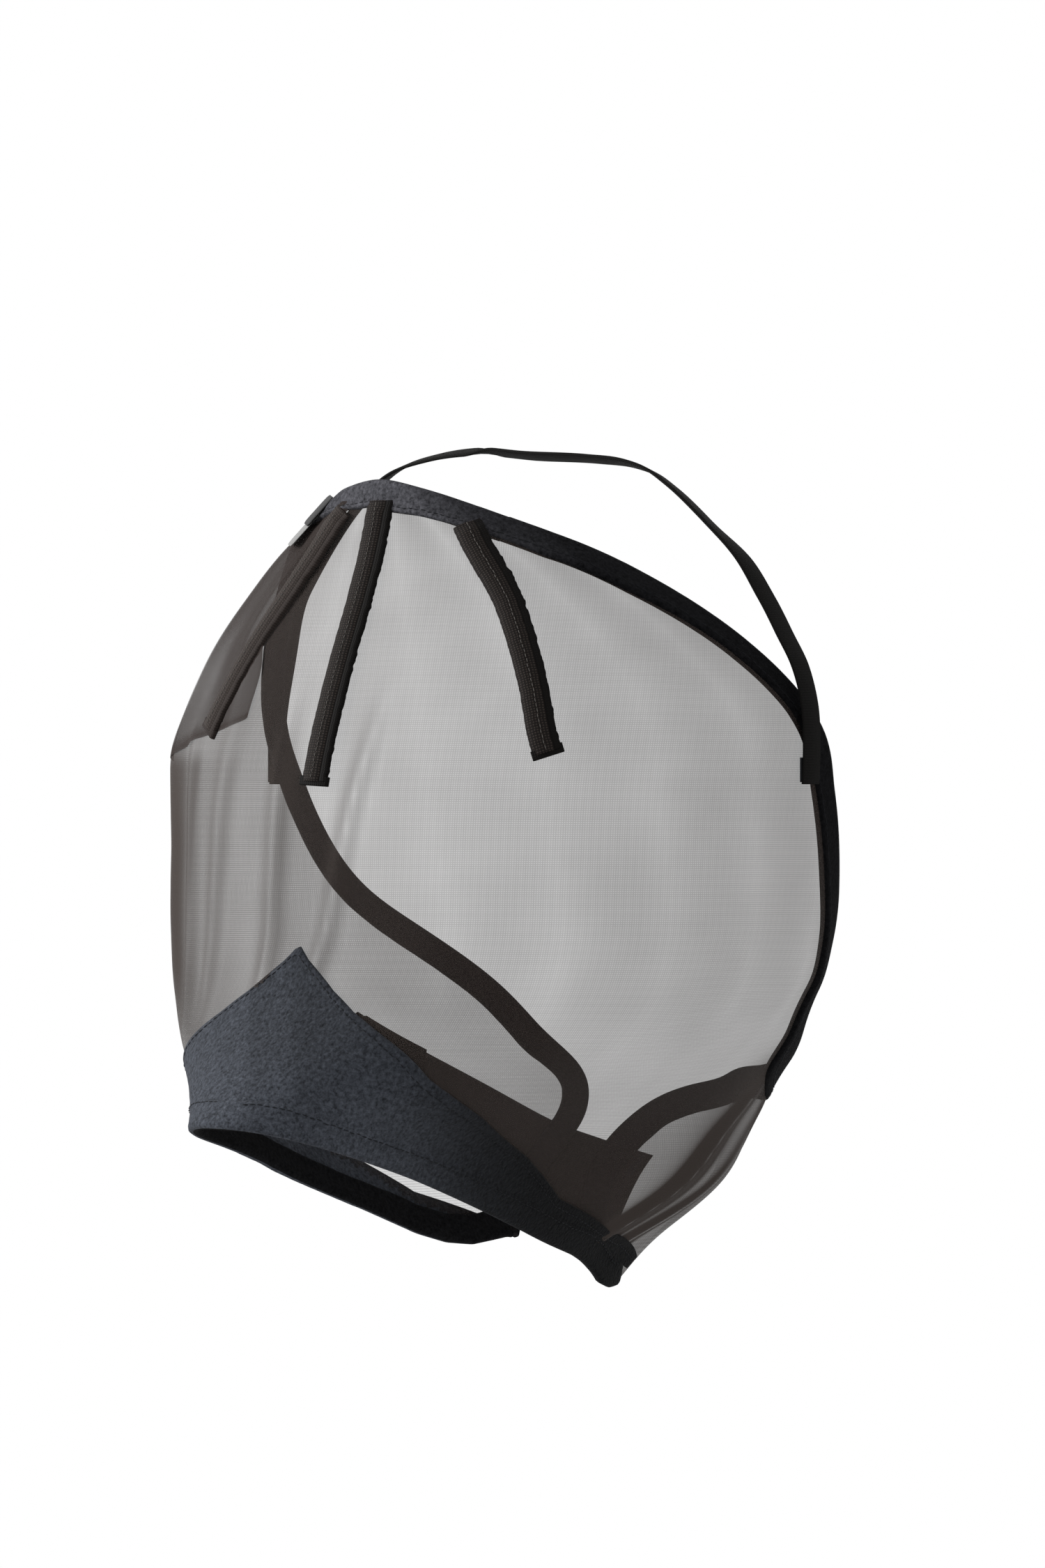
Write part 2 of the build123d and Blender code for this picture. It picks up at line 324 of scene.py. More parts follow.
def strip(name, rings, run, profile, body, material):
    """A closed strip: one row of points for each point of its cross-section, and its ends filled."""
    points = np.stack(rings, 1)
    count, ring = points.shape[:2]
    faces = grid_faces(count, ring, wrap=True)
    faces += [tuple(range(ring))[::-1], tuple((count - 1) * ring + i for i in range(ring))]
    uv = np.stack([np.repeat(run, ring), np.tile([p[0] for p in profile], count)], 1) * MM
    piece = make(name, points.reshape(-1, 3), faces, body, material, uv=uv)
    outward(piece)
    return piece


def band(name, line, profile, body, material, flip=1, wobble=0.25, wide=1.0, thick=1.0):
    """A strip along a line on the hood, with a closed cross-section of (inward, lift) points."""
    inward, _ = frames(line)
    inward *= flip
    drift = np.convolve(rng.normal(0, 1, len(line) + 20), np.ones(21) / 21, "valid") * 4.5 * wobble
    rings = []
    for across, lift in profile:
        reach = across * wide + drift * (across > 1)
        rings.append(hug(line + inward * reach[:, None], lift * thick + 0.12 * drift))
    return strip(name, rings, length_along(line), profile, body, material)


def outward(piece):
    """Turn all of a closed piece's faces outward."""
    bm = bmesh.new()
    bm.from_mesh(piece.data)
    bmesh.ops.recalc_face_normals(bm, faces=bm.faces)
    bm.to_mesh(piece.data)
    bm.free()


def fold_profile(width, thick, edge=1.0):
    """Cross-section of cloth folded over an edge: across from the fold, and lift."""
    half = [(0, 0), (0.3, 0.62), (1.2, 1.0), (3.0, 1.12), (width * 0.5, 0.95), (width * 0.78, 0.82),
            (width - 1.6, 1.0), (width - 0.5, 0.85), (width, 0.4)]
    over = [(a, h * thick) for a, h in half]
    under = [(a, -h * thick * edge) for a, h in half[1:][::-1]]
    return over + under


def flat_profile(low, high, under, over):
    """Cross-section of a flat strip with rounded edges."""
    soft = min(0.45 * (over - under), 0.6)
    return [(low, under + soft), (low, over - soft), (low + soft, over), (high - soft, over),
            (high, over - soft), (high, under + soft), (high - soft, under), (low + soft, under)]


def stitches(name, line, pitch, length, thick, lift, body, material, jitter=0.25):
    """A row of sewn stitches lying along a line on the hood."""
    run = length_along(line)
    starts = np.arange(pitch / 2, run[-1] - length, pitch)
    inward, normal = frames(line)
    points, faces = [], []
    shares, sides = (0, 0.15, 0.5, 0.85, 1), 6
    for s in starts:
        side_step = rng.normal(0, jitter)
        base = len(points)
        for share in shares:
            at = s + share * length
            centre = [np.interp(at, run, line[:, k]) for k in range(3)]
            up = np.array([np.interp(at, run, normal[:, k]) for k in range(3)])
            over = np.array([np.interp(at, run, inward[:, k]) for k in range(3)])
            bulge = sin(pi * (0.12 + 0.76 * share))
            middle = np.array(centre) + up * (lift + 0.3 * thick * bulge) + over * side_step
            for k in range(sides):
                angle = 2 * pi * k / sides
                points.append(middle + (up * cos(angle) + over * sin(angle)) * thick * 0.5 * bulge)
        last = base + (len(shares) - 1) * sides
        faces += [tuple(base + i for i in f) for f in grid_faces(len(shares), sides, wrap=True)]
        faces += [tuple(base + i for i in range(sides)), tuple(last + i for i in range(sides))]
    piece = make(name, points, faces, body, material)
    outward(piece)
    return piece


# ---------------------------------------------------------------- materials
def shader(name, colour, roughness=0.9, sheen=0.0, gloss=0.08):
    """A Principled material and the parts that its nodes are built from."""
    made = bpy.data.materials.new(name)
    made.use_nodes = True
    nodes, links = made.node_tree.nodes, made.node_tree.links
    main = nodes["Principled BSDF"]
    main.inputs["Base Color"].default_value = (*colour, 1)
    main.inputs["Roughness"].default_value = roughness
    main.inputs["Specular IOR Level"].default_value = gloss
    if sheen:
        main.inputs["Sheen Weight"].default_value = sheen
        main.inputs["Sheen Roughness"].default_value = 0.5
    return made, nodes, links, main


def node(nodes, kind, **values):
    """A node with its properties or its input values set by name."""
    made = nodes.new(kind)
    for key, value in values.items():
        if hasattr(made, key):
            setattr(made, key, value)
        else:
            made.inputs[key.replace("_", " ")].default_value = value
    return made


def maths(nodes, links, operation, a, b=None, clamp=False):
    """The output of a maths node fed by numbers or other nodes' outputs."""
    made = nodes.new("ShaderNodeMath")
    made.operation = operation
    made.use_clamp = clamp
    for slot, value in zip(made.inputs, (a, b)):
        if value is None:
            continue
        if isinstance(value, (int, float)):
            slot.default_value = value
        else:
            links.new(value, slot)
    return made.outputs[0]


def scaled_colour(nodes, links, main, colour, factor):
    """The base colour made lighter or darker by a factor."""
    shade = nodes.new("ShaderNodeVectorMath")
    shade.operation = "SCALE"
    shade.inputs[0].default_value = colour
    links.new(factor, shade.inputs["Scale"])
    links.new(shade.outputs[0], main.inputs["Base Color"])


def bumps(nodes, links, main, height, strength, distance, invert=False):
    """A fine relief from a height."""
    bump = node(nodes, "ShaderNodeBump", Strength=strength, Distance=distance, invert=invert)
    links.new(height, bump.inputs["Height"])
    links.new(bump.outputs[0], main.inputs["Normal"])


def threads(nodes, links, source, axis, pitch, sharp=1.0):
    """Bright where a thread runs, for threads a pitch apart along one cloth coordinate."""
    parts = nodes.new("ShaderNodeSeparateXYZ")
    links.new(source, parts.inputs[0])
    wave = maths(nodes, links, "SINE", maths(nodes, links, "MULTIPLY", parts.outputs[axis], 2 * pi / pitch))
    level = maths(nodes, links, "MULTIPLY_ADD", wave, 0.5 * sharp)
    level.node.inputs[2].default_value = 0.5
    return level


def fine_mesh(name, low, high, colour):
    """See-through mesh: a grid of threads with gaps, and thicker where cloth is doubled."""
    made, nodes, links, main = shader(name, colour, 0.85)
    cloth_uv = nodes.new("ShaderNodeUVMap")
    cloth_uv.uv_map = "cloth"
    warp = threads(nodes, links, cloth_uv.outputs[0], 0, 0.00115)
    weft = threads(nodes, links, cloth_uv.outputs[0], 1, 0.00105)
    grid = maths(nodes, links, "MAXIMUM", warp, weft)
    slubs = node(nodes, "ShaderNodeTexNoise", Scale=22.0, Detail=3.0)
    links.new(cloth_uv.outputs[0], slubs.inputs["Vector"])
    uneven = maths(nodes, links, "MULTIPLY", maths(nodes, links, "SUBTRACT", slubs.outputs["Fac"], 0.5), 0.12)
    span = maths(nodes, links, "MULTIPLY_ADD", grid, high - low)
    span.node.inputs[2].default_value = low
    doubled = node(nodes, "ShaderNodeAttribute", attribute_name="doubled")
    plaid = maths(nodes, links, "ADD", threads(nodes, links, cloth_uv.outputs[0], 0, 0.0044),
                  threads(nodes, links, cloth_uv.outputs[0], 1, 0.0047))
    faint = maths(nodes, links, "MULTIPLY", maths(nodes, links, "SUBTRACT", plaid, 1.0), 0.012)
    thin = maths(nodes, links, "ADD", maths(nodes, links, "ADD", span, uneven), faint)
    solid = maths(nodes, links, "MULTIPLY", doubled.outputs["Fac"], 0.55)
    opened = maths(nodes, links, "MULTIPLY", maths(nodes, links, "SUBTRACT", 1.0, thin),
                   maths(nodes, links, "SUBTRACT", 1.0, solid))
    alpha = maths(nodes, links, "SUBTRACT", 1.0, opened, clamp=True)
    links.new(alpha, main.inputs["Alpha"])
    bumps(nodes, links, main, grid, 0.25, 0.0004)
    return made


# Range of y that the fleece's painted shade stops cover, in metres
SHADE_STOPS_FROM, SHADE_STOPS_TO = -0.15, 0.25


def fleece(name, colour, shade_stops=None, sheen=0.1):
    """Brushed polar fleece with a curly nap, its colour scaled by painted light and shade, read from a
    painted attribute or given at stops along y.
    """
    made, nodes, links, main = shader(name, colour, 0.97, sheen=sheen, gloss=0.03)
    where = nodes.new("ShaderNodeTexCoord")
    nap = node(nodes, "ShaderNodeTexNoise", Scale=480.0, Detail=5.0, Roughness=0.75)
    links.new(where.outputs["Object"], nap.inputs["Vector"])
    curls = node(nodes, "ShaderNodeTexVoronoi", Scale=520.0)
    links.new(where.outputs["Object"], curls.inputs["Vector"])
    curl_height = maths(nodes, links, "MULTIPLY", curls.outputs["Distance"], 0.5)
    bumps(nodes, links, main, maths(nodes, links, "ADD", nap.outputs["Fac"], curl_height), 0.75, 0.0012)
    tint = node(nodes, "ShaderNodeMapRange", From_Min=0.32, From_Max=0.7, To_Min=0.3, To_Max=1.8)
    links.new(nap.outputs["Fac"], tint.inputs["Value"])
    if shade_stops:
        parts = nodes.new("ShaderNodeSeparateXYZ")
        links.new(where.outputs["Object"], parts.inputs[0])
        place_along = node(nodes, "ShaderNodeMapRange", From_Min=SHADE_STOPS_FROM, From_Max=SHADE_STOPS_TO)
        links.new(parts.outputs[1], place_along.inputs["Value"])
        ramp = nodes.new("ShaderNodeValToRGB")
        links.new(place_along.outputs[0], ramp.inputs[0])
        band_stops = ramp.color_ramp.elements
        while len(band_stops) < len(shade_stops):
            band_stops.new(0.5)
        for stop, (distance, painted_shading) in zip(band_stops, shade_stops):
            stop.position = (distance - SHADE_STOPS_FROM) / (SHADE_STOPS_TO - SHADE_STOPS_FROM)
            stop.color = (painted_shading, painted_shading, painted_shading, 1)
        shading_of = ramp.outputs[0]
    else:
        shading_of = node(nodes, "ShaderNodeAttribute", attribute_name="painted_shading").outputs["Fac"]
    scaled_colour(nodes, links, main, colour, maths(nodes, links, "MULTIPLY", shading_of, tint.outputs[0]))
    return made


def webbing(name, colour, pitch=0.0013, contrast=0.5, roughness=0.75):
    """Woven tape with ribs running across it."""
    made, nodes, links, main = shader(name, colour, roughness, gloss=0.05)
    cloth_uv = nodes.new("ShaderNodeUVMap")
    cloth_uv.uv_map = "cloth"
    ribs = threads(nodes, links, cloth_uv.outputs[0], 0, pitch)
    lanes = threads(nodes, links, cloth_uv.outputs[0], 1, pitch * 0.8)
    weave = maths(nodes, links, "MULTIPLY", ribs, lanes)
    bumps(nodes, links, main, weave, 0.5, 0.0005)
    tint = maths(nodes, links, "MULTIPLY_ADD", weave, contrast)
    tint.node.inputs[2].default_value = 1 - contrast / 2
    scaled_colour(nodes, links, main, colour, tint)
    return made


def netting(name, colour, gap):
    """Folded mesh in a dart: small open cells between dark threads."""
    made, nodes, links, main = shader(name, colour, 0.8)
    cloth_uv = nodes.new("ShaderNodeUVMap")
    cloth_uv.uv_map = "cloth"
    cells = node(nodes, "ShaderNodeTexVoronoi", Scale=780.0)
    cells.inputs["Randomness"].default_value = 0.15
    links.new(cloth_uv.outputs[0], cells.inputs["Vector"])
    dots = node(nodes, "ShaderNodeMapRange", From_Min=0.2, From_Max=0.42, To_Min=1.0, To_Max=0.0)
    links.new(cells.outputs["Distance"], dots.inputs["Value"])
    tint = nodes.new("ShaderNodeMix")
    tint.data_type = "RGBA"
    tint.inputs[6].default_value = (*colour, 1)
    tint.inputs[7].default_value = (*gap, 1)
    links.new(dots.outputs[0], tint.inputs[0])
    links.new(tint.outputs[2], main.inputs["Base Color"])
    bumps(nodes, links, main, dots.outputs[0], 0.5, 0.0004, invert=True)
    return made


def plain(name, colour, roughness, speckle=0.15, scale=300.0, alpha=1.0):
    """A moulded or sewn surface with a fine uneven finish."""
    made, nodes, links, main = shader(name, colour, roughness)
    where = nodes.new("ShaderNodeTexCoord")
    noise = node(nodes, "ShaderNodeTexNoise", Scale=scale, Detail=3.0)
    links.new(where.outputs["Object"], noise.inputs["Vector"])
    tint = maths(nodes, links, "MULTIPLY_ADD", noise.outputs["Fac"], speckle * 2)
    tint.node.inputs[2].default_value = 1 - speckle
    scaled_colour(nodes, links, main, colour, tint)
    bumps(nodes, links, main, noise.outputs["Fac"], 0.2, 0.0003)
    main.inputs["Alpha"].default_value = alpha
    return made


MESH_CLOTH = fine_mesh("fine_mesh", 0.37, 0.575, (0.026, 0.0205, 0.018))
MESH_FOLD = fine_mesh("folded_fine_mesh", 0.40, 0.60, (0.016, 0.0115, 0.010))
SLATE = fleece("slate_fleece", (0.034, 0.0375, 0.0455), sheen=0.03)
# Brow, near neck and jaw flap bindings: the colour fades to near black towards the rear, painted shade where
# the tape turns away from the key lamp
BINDING = fleece("binding_fleece", (0.047, 0.047, 0.053),
                 ((0.0, 1.0), (0.012, 0.45), (0.04, 0.13), (0.1, 0.075)), sheen=0.0)
# Off neck binding: the same fleece tape made much darker, and darker again to the rear, as painted shade
SHADED_OFF_BINDING = fleece("off_binding_painted_shade", (0.012, 0.011, 0.0115), ((0.0, 1.0), (0.08, 0.6)), sheen=0.02)
# Near-black copy of the slate fleece for the inner half of the hems' folds: painted shade inside the fold
HEM_INSIDE_SHADE = fleece("hem_inside_painted_shade", (0.006, 0.006, 0.0065), ((0.0, 1.0), (0.1, 1.0)), sheen=0.0)
POLL_WEB = webbing("black_webbing", (0.0042, 0.0039, 0.0036))
CLOSURE_WEB = webbing("closure_webbing", (0.010, 0.008, 0.0075), pitch=0.0016)
NET = netting("dart_netting", (0.0055, 0.0042, 0.0038), (0.022, 0.0175, 0.015))
NET_SEAM = webbing("dart_seam", (0.004, 0.0035, 0.0032))
NET_FAR = netting("far_dart_netting", (0.017, 0.0133, 0.0118), (0.032, 0.0255, 0.0222))
SEAM_FAR = webbing("far_dart_seam", (0.021, 0.0165, 0.0148))
THREAD = plain("thread", (0.007, 0.0075, 0.009), 0.7)
PALE_THREAD = plain("dart_thread", (0.07, 0.065, 0.06), 0.7)
STAY = plain("stay_plastic", (0.3, 0.3, 0.29), 0.45)
HOOKS = netting("hook_tape", (0.008, 0.007, 0.006), (0.03, 0.026, 0.023))
LOOPS = fleece("loop_tape", (0.012, 0.011, 0.01), ((0.0, 1.0), (0.1, 1.0)), sheen=0.0)
BADGE_DARK = plain("badge_rubber", (0.004, 0.0038, 0.004), 0.5)
BADGE_PALE = plain("badge_backing", (0.17, 0.17, 0.167), 0.4, alpha=0.8)


# ---------------------------------------------------------------- hood
def folds(z, t):
    """Soft folds of the slack cloth on the face, the far cheek and the throat, in millimetres."""
    deg = np.degrees(t)
    low = ease(z, -275, -235) * (1 - ease(z, -150, -90))
    drop = z + 200
    far = 3.0 * ridge(deg, -50 - 0.06 * drop, 4.5) + 2.2 * ridge(deg, -36, 3.5)
    far += 1.8 * ridge(deg, -24 + 0.04 * drop, 3.0) - 1.8 * ridge(deg, -43, 4.0)
    face = 1.8 * ridge(deg, -7, 2.2) + 1.5 * ridge(deg, 6 + 0.06 * drop, 2.0)
    cheek = 0.9 * np.sin(deg * 0.16 + z * 0.013) * ease(z, -285, -240)
    rear = 2.2 * ridge(deg, 128 + 0.12 * (z + 330), 4) + 1.6 * ridge(deg, 146 + 0.2 * (z + 330), 4)
    return (far + face) * low + cheek + rear * (1 - ease(z, -310, -285))


def fullness(z, t):
    """How much denser the cloth is where it folds back on itself; below zero where it is slack."""
    deg, step = np.degrees(t), 0.004
    slope = np.abs(folds(z, t + step) - folds(z, t - step)) / (2 * step * section(z)[2])
    far_side = 1 - ease(deg, -75, -60)
    turned = deg + 34 - 0.05 * (z + 200)
    level = ease(z, -310, -270) * (1 - ease(z, -140, -128)) * ease(deg, -88, -72)
    gathered = 0.5 * (1 - ease(turned, -2, 0)) + 0.2 * ridge(turned, -3, 2.4) + 0.35 * ridge(turned, -19, 6)
    gathered = (gathered + 0.22 * ridge(turned, 12, 1.6) + 0.15 * ridge(turned, 27, 1.5)) * level
    throat = (ridge(deg, 128, 11) + ridge(deg, 152, 7) * 0.5) * (1 - ease(z, -300, -270)) * 0.9
    side = 0.5 * ease(deg, 15, 95)
    edge = ridge(deg, 127, 9) * ease(z, -270, -200) * (1 - ease(z, -130, -60)) * 0.25
    return np.where(deg < -60, -0.5 * far_side, 0) + gathered + throat + side + edge + 3.0 * slope


def hood_keep(z, t, p):
    """The hood's mesh: inside the neck edges and above the fleece, and down to the ring at its rear."""
    y = p[..., 1]
    kept = np.where(t >= 0, ~within(near_out, y, z), ~within(off_out, y, z))
    return kept & (z > fleece_top(t) - TUCK - 20 * ease(np.degrees(t), 145, 155))


heights = np.linspace(-402, 5, 200)
hood = cloth("mesh_hood", heights, np.radians(np.linspace(-165, 180, 340)), hood_keep, folds, "root",
             MESH_CLOTH, fullness)


def flap_keep(z, t, p):
    """The near side's cloth under the jaw, as far as the flap's edge."""
    return within(flap_in, p[..., 1], z)


flap = cloth("jaw_flap_cloth", heights, np.radians(np.linspace(180, 245, 64)), flap_keep,
             lambda z, t: folds(z, t) * 0, None, MESH_CLOTH, lambda z, t: 0 * z)

# Second layer of mesh folded in at the far temple, its front edge drawn in the front view
TEMPLE_EDGE = [(-14, -9), (-33, -35), (-50, -58), (-55, -72), (-50, -92), (-52, -115)]
TEMPLE_BACK, TEMPLE_DROP = radians(-58), 21


def temple_fold():
    """Second layer of mesh, denser along its creases and open in one wedge."""
    edge = spline(TEMPLE_EDGE, 110)
    share = np.linspace(0, 1, 90)[None, :]
    start = from_front(edge[:, 0], edge[:, 1])[:, None]
    t = start + (TEMPLE_BACK - start) * share
    down = np.linspace(0, 1, 110)[:, None]
    z = edge[:, 1][:, None] - TEMPLE_DROP * down * share**0.7 + 10 * np.sin(3 * share) * down**2 * 0.15
    grid = skin(z, t, folds(z, t) + 0.7 + 0.35 * np.sin(9 * share + 3 * down))
    piece = make("temple_fold", grid.reshape(-1, 3), grid_faces(*z.shape), "root", MESH_FOLD, uv=arc_uv(grid))
    thick = 1.45 - 0.25 * down + 0.1 * np.sin(16 * share + 5 * down) + 0.25 * (1 - ease(share, 0, 0.03))
    thick = thick + 0.3 * ridge(share, 0.3 - 0.15 * down, 0.03) - 0.5 * ridge(share, 0.18 - 0.05 * down, 0.05)
    open_wedge = ease(share, 0.35, 0.5) * ease(down, 0.45, 0.75) * (1 - ease(down, 0.93, 0.97))
    thick = thick - 1.2 * open_wedge
    thick = np.maximum(thick + 0.5 * ridge(down, 0.985, 0.012), 0)
    paint(piece, "doubled", thick)
    return piece


temple = temple_fold()

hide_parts("mesh_body")
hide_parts("jaw_flap_mesh")

# ---------------------------------------------------------------- neck bindings
side_near = skin(near_edge[:, 1], from_side(near_edge[:, 0], near_edge[:, 1], 1))
side_off = skin(off_edge[:, 1], from_side(off_edge[:, 0], off_edge[:, 1], -1))
side_flap = skin(flap_edge[:, 1], from_side(flap_edge[:, 0], flap_edge[:, 1], -1))
whole = smooth_line(even(np.vstack([side_off[::-1], side_near[3:], side_flap[3:]]), 420), 12)
whole_in, _ = frames(whole)
brow = np.argmin(np.abs(whole[:, 0]) + 1000 * (whole[:, 2] < -20))
inward_side = 1 if whole_in[brow, 2] < 0 else -1
# The brow piece reaches this far to each side
BROW_REACH = 60
number = np.arange(len(whole))
near_join = np.argmax((whole[:, 0] > BROW_REACH) & (number > brow))
off_join = len(whole) - 1 - np.argmax(((whole[:, 0] < -BROW_REACH) & (number < brow))[::-1])
rear = near_join + np.argmax((whole[near_join:, 0] < 0))
FOLD = fold_profile(BINDING_WIDTH, 2.0)
RING_GAP = 12
above_ring = whole[:, 2] > ring_z(whole[:, 1]) + RING_GAP
first, last = np.argmax(above_ring), len(whole) - np.argmax(above_ring[::-1])
run = length_along(whole)
along_near = np.clip((run - run[brow]) / (run[rear] - run[brow]), 0, 1)
# Width of the near side's binding as a share of BINDING_WIDTH, by share of the way from brow to rear
WIDTHS = [(0, 0.92), (0.02, 1.12), (0.05, 1.15), (0.1, 1.45), (0.17, 1.9), (0.25, 1.7), (0.32, 1.45),
          (0.42, 1.15), (0.6, 1.3), (0.72, 1.4), (0.84, 1.5), (0.93, 1.25), (1, 1.0)]
wide = np.interp(along_near, *np.transpose(WIDTHS))
puff_up = 1 + 0.3 * ease(along_near, 0.1, 0.3) * (1 - ease(along_near, 0.92, 1.0))
binding_parts = {
    "off_neck_tape": (first, off_join + 2, "off_neck_binding", SHADED_OFF_BINDING, "root"),
    "brow_tape": (off_join, near_join + 2, "brow_binding", BINDING, "root"),
    "near_neck_tape": (near_join, rear + 2, "near_neck_binding", BINDING, "root"),
    "jaw_flap_tape": (rear, last, "jaw_flap_binding", BINDING, None),
}
made_bindings = {}
for name, (start, end, stands_for, material, body) in binding_parts.items():
    line = whole[start:end]
    piece = band(name, line, FOLD, body, material, flip=inward_side, wide=wide[start:end],
                 thick=puff_up[start:end])
    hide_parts(stands_for)
    made_bindings[name] = piece
    seam_in, _ = frames(line)
    seam = hug(line + seam_in * inward_side * ((BINDING_WIDTH - 2.8) * wide[start:end])[:, None],
               1.75 * puff_up[start:end])
    row = stitches(f"{name}_stitches", seam, 3.4, 2.6, 0.5, 0, body, THREAD)
    made_bindings[f"{name}_stitches"] = row

# ---------------------------------------------------------------- nose fleece, hem and their stitching
off_limit = from_side(127.0, ring_z(127.0), -1)
nose_t = np.linspace(off_limit * 0.94, radians(156), 260)
nose_low = ring_height(nose_t, 7)
nose_high = fleece_top(nose_t)
open_columns = nose_high > nose_low + 0.5
nose_t, nose_low, nose_high = nose_t[open_columns], nose_low[open_columns], nose_high[open_columns]
nose_rows = 60
nose_share = np.linspace(0, 1, nose_rows)[:, None]


def nose_grid(lift):
    """Points of the nose panel between the ring and its top edge, lifted off the hood."""
    return skin(nose_low + (nose_high - nose_low) * nose_share, nose_t, lift)


def slab(name, outer, inner, body, material):
    """A closed sheet between two grids of points."""
    rows, columns = outer.shape[:2]
    count = rows * columns
    faces = grid_faces(rows, columns)
    faces += [tuple(i + count for i in f)[::-1] for f in grid_faces(rows, columns)]
    edge = list(range(columns)) + [r * columns + columns - 1 for r in range(1, rows)]
    edge += [(rows - 1) * columns + c for c in range(columns - 2, -1, -1)]
    edge += [r * columns for r in range(rows - 2, 0, -1)]
    for i, j in zip(edge, edge[1:] + edge[:1]):
        faces.append((j, i, i + count, j + count))
    points = np.vstack([outer.reshape(-1, 3), inner.reshape(-1, 3)])
    uv = np.vstack([arc_uv(outer), arc_uv(inner)])
    piece = make(name, points, faces, body, material, uv=uv)
    outward(piece)
    return piece


# Painted light and shade on the slate colour, by distance across the nose towards the near rear, in
# millimetres: a painted shadow line at a crease over the face, and darker to the rear as painted shade
PAINTED_SHADE_ACROSS = [(-62, 0.88), (-60, 0.7), (-45, 0.74), (-34, 0.56), (0, 0.68), (20, 0.6), (50, 0.22), (70, 0.1),
          (85, 0.06), (130, 0.03)]


def paint_light_and_shade(piece):
    """Write painted light and shade on a piece's fleece: a painted shadow at a crease over the face, and
    painted shade darker to the rear.
    """
    p = np.zeros(len(piece.data.vertices) * 3)
    piece.data.vertices.foreach_get("co", p)
    x, y, z = p.reshape(-1, 3).T / MM
    across = 0.77 * x + 0.64 * y
    painted_shading = np.interp(across, *np.transpose(PAINTED_SHADE_ACROSS))
    # Painted light: the lower nose near the face is brightened
    painted_shading *= 1 + 0.6 * (1 - ease(z, -305, -265)) * ridge(across, -25, 40)
    paint(piece, "painted_shading", painted_shading)


soft = rng.normal(0, 1, (nose_rows, len(nose_t)))
for axis in (0, 1):
    soft = np.apply_along_axis(lambda v: np.convolve(v, np.ones(5) / 5, "same"), axis, soft)
edge_round = np.minimum(nose_share[::-1] * 40, 1)
puff = 0.9 * edge_round + 0.35 * soft
nose = slab("nose_fleece", nose_grid(1.0 + puff), nose_grid(0.25), "root", SLATE)
# Painted light and shade on the nose fleece
paint_light_and_shade(nose)
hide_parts("nose_fleece_panel")

top_line = smooth_line(even(skin(nose_high - 3.2, nose_t), 300), 2)
stitches("nose_edge_stitches", top_line, 3.6, 2.8, 0.55, 1.9, "root", THREAD)

near_t = np.linspace(0, radians(163), 170)
off_t = np.linspace(off_limit, radians(2), 130)
# How far each hem rides above the ring, in millimetres, by degrees round from the face
NEAR_RISE = [(0, 2.6), (60, 1.8), (95, 0), (118, -1.8), (130, -4), (142, -5.8), (152, -5), (163, -1.5)]
OFF_RISE = [(0, 2.6), (30, 4.2), (60, 5.4), (85, 1.6), (100, -1.4), (108, -1.2), (115, 1.5), (123, 9)]
HEM_POINTS = 180
hem_parts = {
    "near_hem": (near_t, "near_nose_hem", NEAR_RISE),
    "off_hem": (off_t, "off_nose_hem", OFF_RISE),
}
for name, (angles, stands_for, rises) in hem_parts.items():
    rise = np.interp(np.abs(np.degrees(angles)), *np.transpose(rises))
    line = even(skin(ring_height(angles, 0) + rise, angles), HEM_POINTS)
    up = 1 if frames(line)[0][len(line) // 2, 2] > 0 else -1
    profile = fold_profile(HEM_WIDTH, 2.4)
    open_end = np.arange(HEM_POINTS)[::-1] if name == "near_hem" else np.arange(HEM_POINTS)
    closing = np.sqrt(1 - (1 - np.clip((open_end + 1) / 5, 0, 1)) ** 2)
    piece = band(name, line, profile, "root", SLATE, flip=up, wide=0.35 + 0.65 * closing, thick=closing)
    piece.data.materials.append(HEM_INSIDE_SHADE)
    # The inner half of the fold takes the second material, near-black fleece as painted shade inside the
    # fold; the outer half and the end faces the first
    inside = [int(k > 0 and lift <= 0) for k, (_, lift) in enumerate(profile)] * (HEM_POINTS - 1)
    piece.data.polygons.foreach_set("material_index", inside + [0, 0])
    # Painted light and shade on the hem's slate fleece
    paint_light_and_shade(piece)
    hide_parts(stands_for)
    seam = hug(line + frames(line)[0] * up * (HEM_WIDTH - 2.2), 0 * line[:, 0])[5:-5]
    stitches(f"{name}_stitches", seam, 3.6, 2.8, 0.55, 2.3, "root", THREAD)

# ---------------------------------------------------------------- eye darts
# How far each dart runs on under the binding, as a share of its first stretch, and how much wider it is drawn
DART_TUCK = {"centre": 0.16, "near": 0.26, "off": 0.16}
DART_SPREAD = {"centre": 1.26, "near": 1.13, "off": 1.15}
DART_SHIFT = {"centre": -3.2, "near": -3.2, "off": 0.0}
# Cross-sections: across the dart, and lift
CASING = [(-6.2, 0.3), (-6.0, 1.6), (-4.2, 3.3), (-1.4, 4.0), (1.4, 3.9), (3.4, 3.0), (4.2, 1.5), (4.2, 0.3)]
DART_SEAM = flat_profile(3.2, 6.6, 0.3, 3.2)
DART_TAB = flat_profile(-6.6, 7.4, 0.3, 3.0)
TAB_ROWS, TAB_BACK, TAB_ON = 6, 2.5, 2.0


def ragged(count, size):
    """Small uneven steps along an edge."""
    rough = rng.normal(0, size, count)
    return np.convolve(rough, (0.25, 0.5, 0.25), "same")


